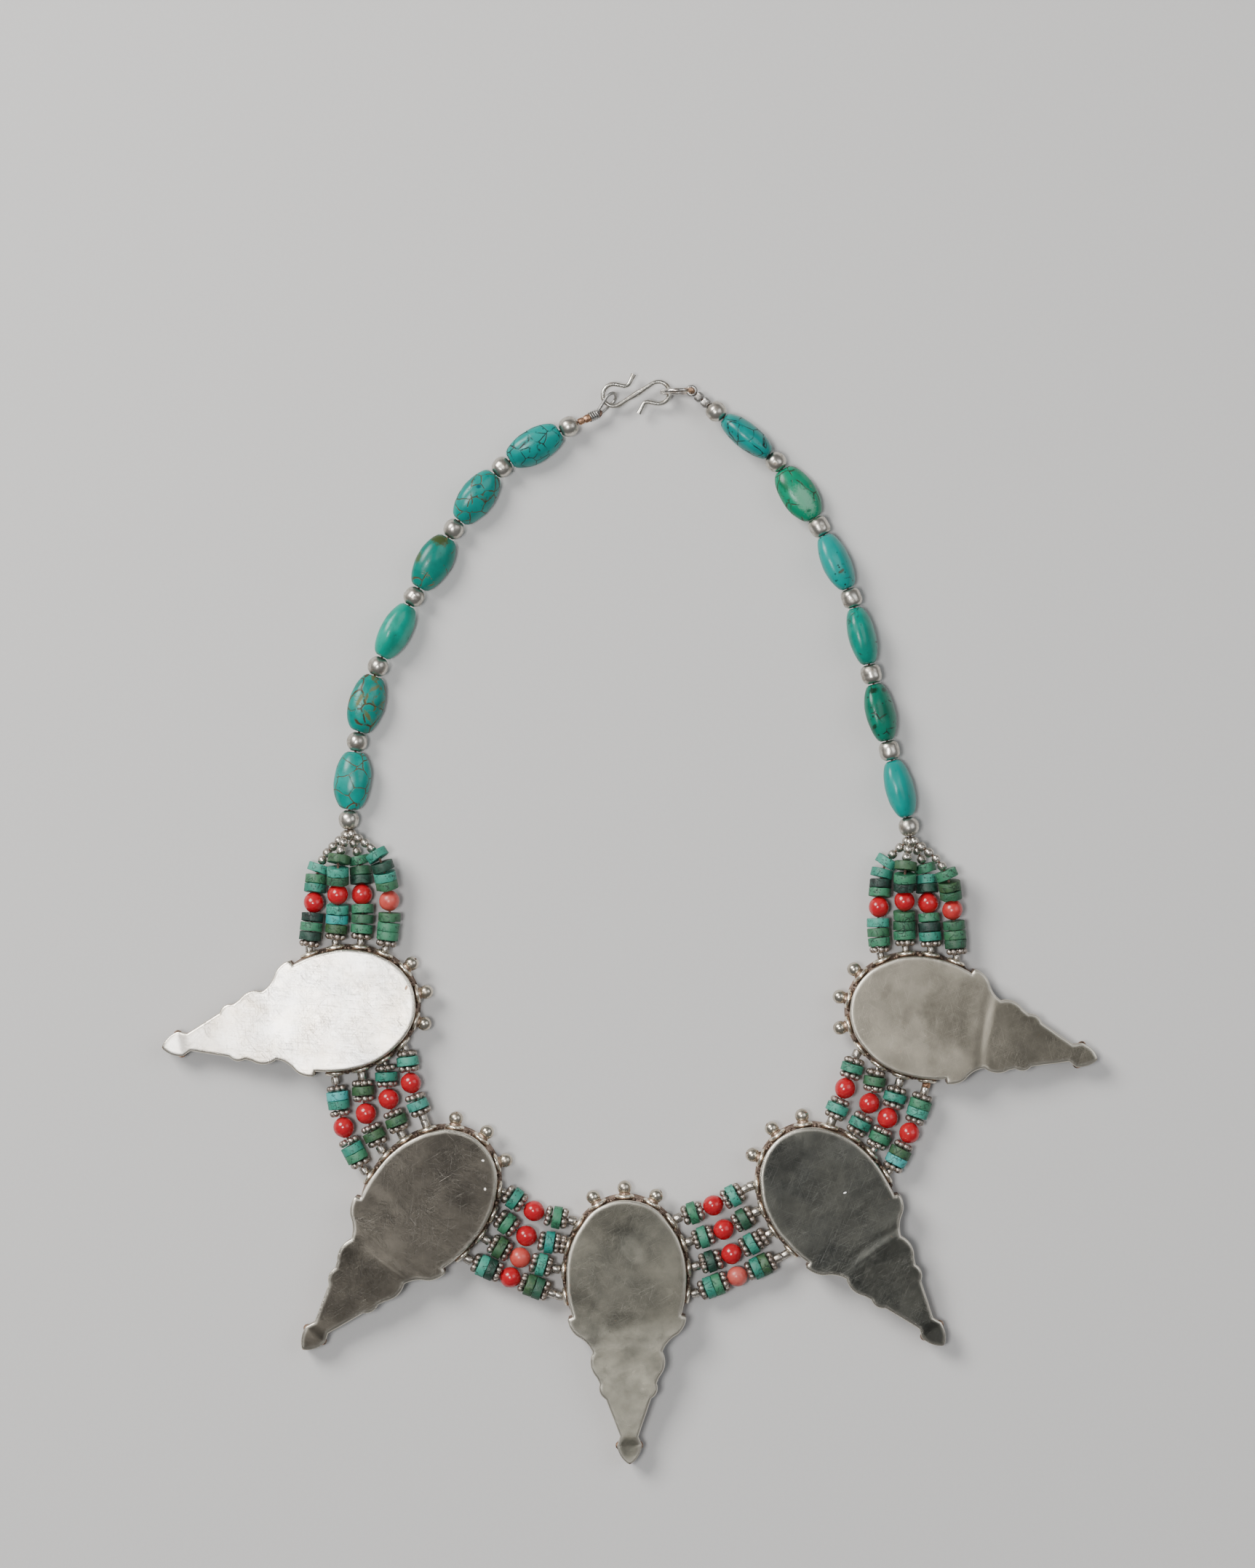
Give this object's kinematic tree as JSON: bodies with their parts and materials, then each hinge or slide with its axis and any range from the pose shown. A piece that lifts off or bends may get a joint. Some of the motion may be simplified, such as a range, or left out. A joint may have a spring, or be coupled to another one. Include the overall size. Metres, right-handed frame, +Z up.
{
  "type": "inlaid pendant necklace",
  "caption": "Folk necklace lying face down: leaf-shaped silver pendants with inlaid fronts joined by strands of turquoise and coral beads, a beaded neck string and an S-hook clasp.",
  "frame": {"origin": "on the surface that the necklace lies on, below the middle of its overall box", "axes": "+Z up, away from the surface and towards the back of the plates; +Y from the middle pendant towards the hook; +X to the right in the picture"},
  "size_m": [0.2328, 0.2722, 0.0099],
  "materials": {
    "tarnished_silver": "satin scratched silver plate with brown tarnish",
    "polished_silver": "worn polished silver",
    "granulated_silver": "pitted granulated silver",
    "turquoise": "waxy turquoise with dark matrix",
    "coral": "glossy red coral",
    "inlay_composition": "plain smooth inlay",
    "cotton_thread": "dark brown waxed thread"
  },
  "bodies": {
    "root": {"bead_threads": "cotton_thread", "clasp_loop": "polished_silver", "clasp_ring": "polished_silver", "fan_left_corals": "coral", "fan_left_daisies": "granulated_silver", "fan_left_discs": "turquoise", "fan_right_corals": "coral", "fan_right_daisies": "granulated_silver", "fan_right_discs": "turquoise", "link_1_corals": "coral", "link_1_daisies": "granulated_silver", "link_1_discs": "turquoise", "link_2_corals": "coral", "link_2_daisies": "granulated_silver", "link_2_discs": "turquoise", "link_3_corals": "coral", "link_3_daisies": "granulated_silver", "link_3_discs": "turquoise", "link_4_corals": "coral", "link_4_daisies": "granulated_silver", "link_4_discs": "turquoise", "pendant_case_1": "tarnished_silver", "pendant_case_2": "tarnished_silver", "pendant_case_3": "tarnished_silver", "pendant_case_4": "tarnished_silver", "pendant_case_5": "tarnished_silver", "pendant_inlay_1": "inlay_composition", "pendant_inlay_2": "inlay_composition", "pendant_inlay_3": "inlay_composition", "pendant_inlay_4": "inlay_composition", "pendant_inlay_5": "inlay_composition", "s_hook": "polished_silver", "silver_left_1": "polished_silver", "silver_left_2": "polished_silver", "silver_left_3": "polished_silver", "silver_left_4": "polished_silver", "silver_left_5": "polished_silver", "silver_left_6": "polished_silver", "silver_left_7": "polished_silver", "silver_right_1": "polished_silver", "silver_right_2": "polished_silver", "silver_right_3": "polished_silver", "silver_right_4": "polished_silver", "silver_right_5": "polished_silver", "silver_right_6": "polished_silver", "silver_right_7": "polished_silver", "turquoise_left_1": "turquoise", "turquoise_left_2": "turquoise", "turquoise_left_3": "turquoise", "turquoise_left_4": "turquoise", "turquoise_left_5": "turquoise", "turquoise_left_6": "turquoise", "turquoise_right_1": "turquoise", "turquoise_right_2": "turquoise", "turquoise_right_3": "turquoise", "turquoise_right_4": "turquoise", "turquoise_right_5": "turquoise", "turquoise_right_6": "turquoise"}
  },
  "joints": []
}
